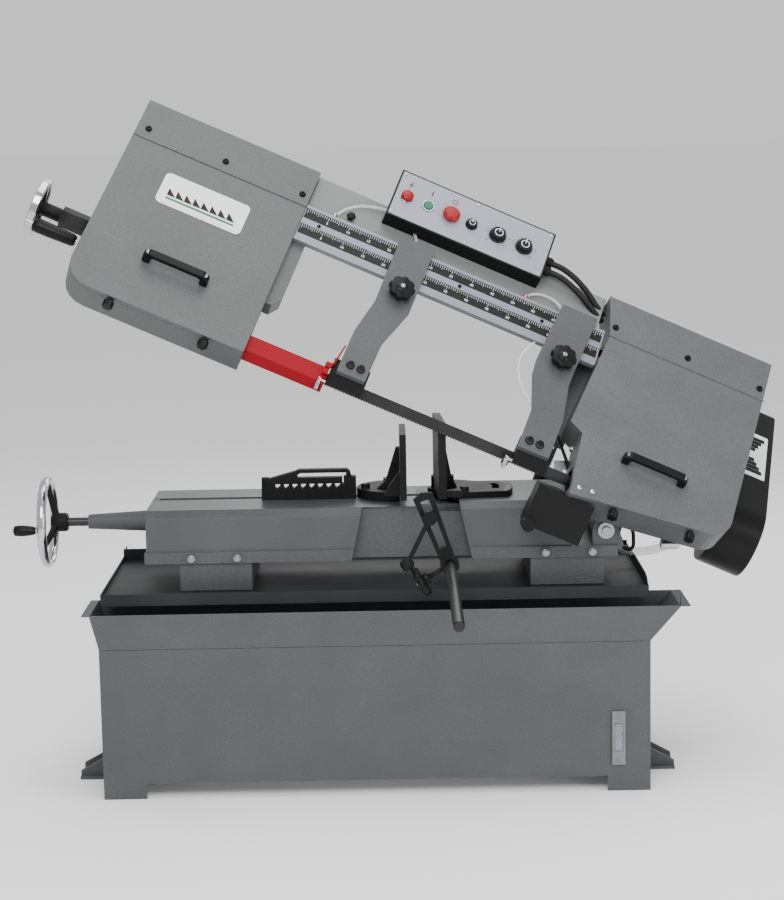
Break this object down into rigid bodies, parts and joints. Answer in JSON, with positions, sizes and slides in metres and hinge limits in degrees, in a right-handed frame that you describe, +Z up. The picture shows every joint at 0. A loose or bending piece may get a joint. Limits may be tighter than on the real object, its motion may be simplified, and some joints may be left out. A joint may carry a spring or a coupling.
{
  "type": "band saw",
  "caption": "Horizontal metal-cutting band saw on a cabinet stand: tilting head with wheel boxes, blade, guides and motor over a bed with a swivel vise and work stop.",
  "frame": {"origin": "centre of the bounding box at floor level", "axes": "+X to the operator's right along the head, +Y away from the operator, +Z up"},
  "size_m": [1.7688, 1.2186, 1.5194],
  "materials": {
    "paint_grey": "semi-gloss grey enamel",
    "plate_grey": "light grey enamel",
    "black_cast": "black enamel on a casting",
    "black_plastic": "moulded black plastic",
    "chrome": "polished",
    "steel": "machined",
    "blade_steel": "dark rolled steel",
    "red_paint": "red enamel",
    "green_plastic": "moulded green plastic",
    "rubber": "matt"
  },
  "bodies": {
    "base": {"cabinet": "paint_grey", "trough": "paint_grey", "chip_tray": "steel", "pedestal_left": "paint_grey", "pedestal_right": "paint_grey", "sight_gauge": "chrome", "bed": "paint_grey", "quadrant": "black_cast", "stop_rod": "steel", "pivot_shaft": "steel"},
    "head": {"wheel_box_left": "paint_grey", "wheel_box_right": "paint_grey", "beam": "plate_grey", "rail": "steel", "blade": "blade_steel", "brush_cover": "black_cast", "gearbox": "paint_grey", "motor": "paint_grey", "belt": "rubber", "belt_guard": "black_plastic", "control_box": "plate_grey"},
    "door_left": {"door_left": "paint_grey", "handle_left": "black_plastic"},
    "door_right": {"door_right": "paint_grey", "handle_right": "black_plastic"},
    "idler_carriage": {"idler_carriage": "black_cast"},
    "idler_wheel": {"idler_wheel": "black_cast"},
    "tension_handwheel": {"tension_handwheel": "chrome"},
    "tension_crank": {"tension_crank": "black_plastic"},
    "drive_wheel": {"drive_wheel": "black_cast"},
    "worm_pulley": {"worm_pulley": "steel"},
    "motor_pulley": {"motor_pulley": "steel"},
    "guide_left": {"guide_arm_left": "paint_grey", "guide_block_left": "black_cast", "blade_guard": "red_paint"},
    "guide_right": {"guide_arm_right": "paint_grey", "guide_block_right": "black_cast"},
    "guide_knob_left": {"guide_knob_left": "black_plastic"},
    "guide_knob_right": {"guide_knob_right": "black_plastic"},
    "vise_carriage": {"vise_carriage": "black_cast", "rack_bar": "black_cast"},
    "latch_left_outer": {"latch_left_outer": "black_plastic"},
    "latch_left_inner": {"latch_left_inner": "black_plastic"},
    "latch_right_inner": {"latch_right_inner": "black_plastic"},
    "latch_right_outer": {"latch_right_outer": "black_plastic"},
    "start_button": {"start_button": "green_plastic"},
    "stop_button": {"stop_button": "red_paint"},
    "selector": {"selector": "black_plastic"},
    "speed_dial": {"speed_dial": "black_plastic"},
    "feed_dial": {"feed_dial": "black_plastic"},
    "rack_handle": {"rack_handle": "black_cast"},
    "movable_jaw": {"movable_jaw": "black_cast"},
    "fixed_jaw": {"fixed_jaw": "black_cast"},
    "vise_handwheel": {"vise_handwheel": "chrome"},
    "vise_crank": {"vise_crank": "black_plastic"},
    "stop_arm": {"stop_arm": "black_cast"},
    "stop_lever": {"stop_lever": "black_cast"},
    "stop_knob": {"stop_knob": "black_plastic"},
    "lift_barrel": {"lift_barrel": "black_cast"},
    "lift_rod": {"lift_rod": "chrome"}
  },
  "joints": [
    {"name": "head_tilt", "type": "hinge", "parent": "base", "child": "head", "pos_m": [0.4341, 0.2307, 0.5635], "axis": [0, 1, 0], "range_deg": [-25, 10]},
    {"name": "door_left_hinge", "type": "hinge", "parent": "head", "child": "door_left", "pos_m": [-0.59386, 0.24739, 1.44591], "axis": [-0.9135, 0, 0.4067], "range_deg": [0, 100]},
    {"name": "door_right_hinge", "type": "hinge", "parent": "head", "child": "door_right", "pos_m": [0.46092, 0.24739, 0.97629], "axis": [-0.9135, 0, 0.4067], "range_deg": [0, 100]},
    {"name": "latch_left_outer_turn", "type": "hinge", "parent": "head", "child": "latch_left_outer", "pos_m": [-0.62458, -0.01198, 1.09909], "axis": [0.3116, 0.6428, 0.6998], "range_deg": [0, 90]},
    {"name": "latch_left_inner_turn", "type": "hinge", "parent": "head", "child": "latch_left_inner", "pos_m": [-0.42726, -0.01198, 1.01124], "axis": [0.3116, 0.6428, 0.6998], "range_deg": [0, 90]},
    {"name": "latch_right_inner_turn", "type": "hinge", "parent": "head", "child": "latch_right_inner", "pos_m": [0.44124, -0.01069, 0.62624], "axis": [0.3116, 0.6428, 0.6998], "range_deg": [0, 90]},
    {"name": "latch_right_outer_turn", "type": "hinge", "parent": "head", "child": "latch_right_outer", "pos_m": [0.60849, 0.00453, 0.57164], "axis": [0.3116, 0.6428, 0.6998], "range_deg": [0, 90]},
    {"name": "blade_tension", "type": "slide", "parent": "head", "child": "idler_carriage", "axis": [0.9135, 0, -0.4067], "range_m": [0, 0.012]},
    {"name": "tension_handwheel_turn", "type": "hinge", "parent": "head", "child": "tension_handwheel", "pos_m": [-0.80388, 0.20577, 1.29014], "axis": [-0.9135, 0, 0.4067], "range_deg": [0, 2161]},
    {"name": "tension_crank_spin", "type": "hinge", "parent": "tension_handwheel", "child": "tension_crank", "pos_m": [-0.77225, 0.15982, 1.23824], "axis": [0.9135, 0, -0.4067], "continuous": true},
    {"name": "idler_wheel_spin", "type": "hinge", "parent": "idler_carriage", "child": "idler_wheel", "pos_m": [-0.47243, 0.1487, 1.19498], "axis": [-0.2614, 0.766, -0.5872], "continuous": true},
    {"name": "drive_wheel_spin", "type": "hinge", "parent": "head", "child": "drive_wheel", "pos_m": [0.56445, 0.1487, 0.73334], "axis": [-0.2614, 0.766, -0.5872], "continuous": true},
    {"name": "worm_pulley_spin", "type": "hinge", "parent": "head", "child": "worm_pulley", "pos_m": [0.72394, 0.23355, 0.52609], "axis": [0.9135, 0, -0.4067], "continuous": true},
    {"name": "motor_pulley_spin", "type": "hinge", "parent": "head", "child": "motor_pulley", "pos_m": [0.78167, 0.47667, 0.65575], "axis": [0.9135, 0, -0.4067], "continuous": true},
    {"name": "guide_left_slide", "type": "slide", "parent": "head", "child": "guide_left", "axis": [0.9135, 0, -0.4067], "range_m": [-0.15, 0.17]},
    {"name": "guide_right_slide", "type": "slide", "parent": "head", "child": "guide_right", "axis": [0.9135, 0, -0.4067], "range_m": [-0.05, 0]},
    {"name": "guide_knob_left_turn", "type": "hinge", "parent": "guide_left", "child": "guide_knob_left", "pos_m": [-0.01081, 0.15938, 1.08854], "axis": [-0.2614, 0.766, -0.5872], "range_deg": [-360, 360]},
    {"name": "guide_knob_right_turn", "type": "hinge", "parent": "guide_right", "child": "guide_knob_right", "pos_m": [0.34273, 0.15938, 0.93113], "axis": [-0.2614, 0.766, -0.5872], "range_deg": [-360, 360]},
    {"name": "start_button_press", "type": "slide", "parent": "head", "child": "start_button", "axis": [-0.2614, 0.766, -0.5872], "range_m": [0, 0.004], "stiffness_N_per_m": 500, "springref_m": -0.002},
    {"name": "stop_button_press", "type": "slide", "parent": "head", "child": "stop_button", "axis": [-0.2614, 0.766, -0.5872], "range_m": [0, 0.004], "stiffness_N_per_m": 500, "springref_m": -0.002},
    {"name": "selector_turn", "type": "hinge", "parent": "head", "child": "selector", "pos_m": [0.15389, 0.30568, 1.22735], "axis": [-0.2614, 0.766, -0.5872], "range_deg": [-45, 45]},
    {"name": "speed_dial_turn", "type": "hinge", "parent": "head", "child": "speed_dial", "pos_m": [0.21251, 0.306, 1.20167], "axis": [-0.2614, 0.766, -0.5872], "range_deg": [-135, 135]},
    {"name": "feed_dial_turn", "type": "hinge", "parent": "head", "child": "feed_dial", "pos_m": [0.27158, 0.30536, 1.17453], "axis": [-0.2614, 0.766, -0.5872], "range_deg": [-135, 135]},
    {"name": "vise_slide", "type": "slide", "parent": "base", "child": "vise_carriage", "axis": [1, 0, 0], "range_m": [-0.27, 0.04]},
    {"name": "vise_handwheel_turn", "type": "hinge", "parent": "base", "child": "vise_handwheel", "pos_m": [-0.0794, 0.2527, 0.5732], "axis": [1, 0, 0], "range_deg": [-19441, 2881]},
    {"name": "vise_crank_spin", "type": "hinge", "parent": "vise_handwheel", "child": "vise_crank", "pos_m": [-0.8204, 0.1577, 0.5722], "axis": [1, 0, 0], "continuous": true},
    {"name": "rack_handle_lift", "type": "hinge", "parent": "vise_carriage", "child": "rack_handle", "pos_m": [-0.3229, 0.2282, 0.6655], "axis": [0, -1, 0], "range_deg": [0, 60]},
    {"name": "fixed_jaw_swivel", "type": "hinge", "parent": "base", "child": "fixed_jaw", "pos_m": [0.0786, 0.2157, 0.65], "axis": [0, 0, -1], "range_deg": [0, 45]},
    {"name": "movable_jaw_swivel", "type": "hinge", "parent": "vise_carriage", "child": "movable_jaw", "pos_m": [-0.0294, 0.2527, 0.65], "axis": [0, 0, -1], "range_deg": [0, 45]},
    {"name": "stop_arm_slide", "type": "slide", "parent": "base", "child": "stop_arm", "axis": [0, 1, 0], "range_m": [-0.52, 0.03]},
    {"name": "stop_lever_turn", "type": "hinge", "parent": "stop_arm", "child": "stop_lever", "pos_m": [0.044, -0.0333, 0.6229], "axis": [0, 1, 0], "range_deg": [-5, 60]},
    {"name": "stop_knob_turn", "type": "hinge", "parent": "stop_arm", "child": "stop_knob", "pos_m": [0.0246, -0.0333, 0.482], "axis": [0.8581, 0, 0.5135], "range_deg": [-360, 360]},
    {"name": "lift_barrel_tilt", "type": "hinge", "parent": "base", "child": "lift_barrel", "pos_m": [0.27064, 0.4157, 0.49746], "axis": [0, 1, 0], "range_deg": [-12.6, 5.1]},
    {"name": "lift_rod_slide", "type": "slide", "parent": "lift_barrel", "child": "lift_rod", "axis": [0.3502, 0, 0.9367], "range_m": [-0.0615, 0.0255]}
  ],
  "couplings": [
    {"joint": "tension_handwheel_turn", "follows": "blade_tension", "rad_per_m": 3141.6},
    {"joint": "vise_handwheel_turn", "follows": "vise_slide", "rad_per_m": 1256.6},
    {"joint": "motor_pulley_spin", "follows": "worm_pulley_spin", "ratio": 1.225},
    {"joint": "drive_wheel_spin", "follows": "worm_pulley_spin", "ratio": 0.033333},
    {"joint": "idler_wheel_spin", "follows": "worm_pulley_spin", "ratio": 0.033333},
    {"joint": "movable_jaw_swivel", "follows": "fixed_jaw_swivel", "ratio": 1},
    {"joint": "lift_barrel_tilt", "follows": "head_tilt", "ratio": 0.5},
    {"joint": "lift_rod_slide", "follows": "head_tilt", "m_per_rad": 0.138}
  ]
}
